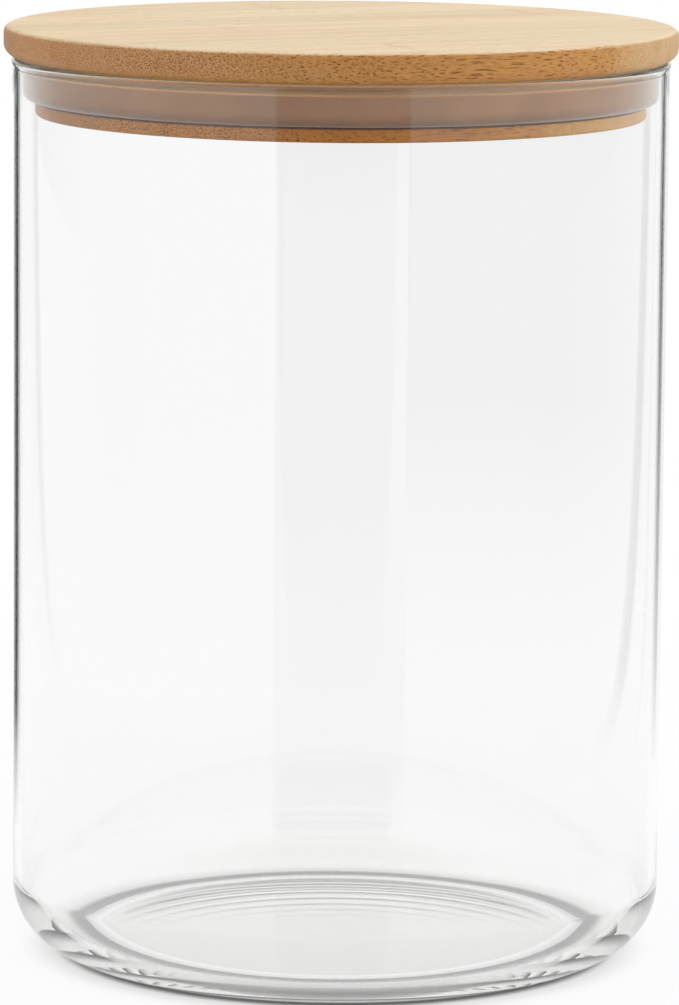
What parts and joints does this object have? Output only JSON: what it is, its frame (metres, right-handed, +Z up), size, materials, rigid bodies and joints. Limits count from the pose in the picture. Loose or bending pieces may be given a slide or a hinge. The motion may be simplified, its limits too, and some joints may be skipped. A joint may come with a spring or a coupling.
{
  "type": "lidded glass canister",
  "caption": "Straight-sided clear glass storage canister with a push-in bamboo lid, sealed by a milky silicone ring in the lid's groove.",
  "frame": {"origin": "centre of the flat ring that the jar stands on, in the table's plane", "axes": "+Z up along the jar's axis and out through the lid; +X and +Y are equivalent, because the piece is turned"},
  "size_m": [0.154, 0.154, 0.214],
  "materials": {
    "clear_glass": "clear, fire polished",
    "bamboo_board": "sanded and lightly oiled bamboo, pale on its face and caramel on its edge",
    "bamboo_plug": "sanded bamboo",
    "silicone": "milky translucent silicone, satin"
  },
  "bodies": {
    "jar": {"glass_jar": "clear_glass"},
    "lid": {"lid_board": "bamboo_board", "lid_plug": "bamboo_plug", "silicone_seal": "silicone"}
  },
  "joints": [
    {"name": "lid_lift", "type": "slide", "parent": "jar", "child": "lid", "axis": [0, 0, 1], "range_m": [0, 0.12]}
  ]
}
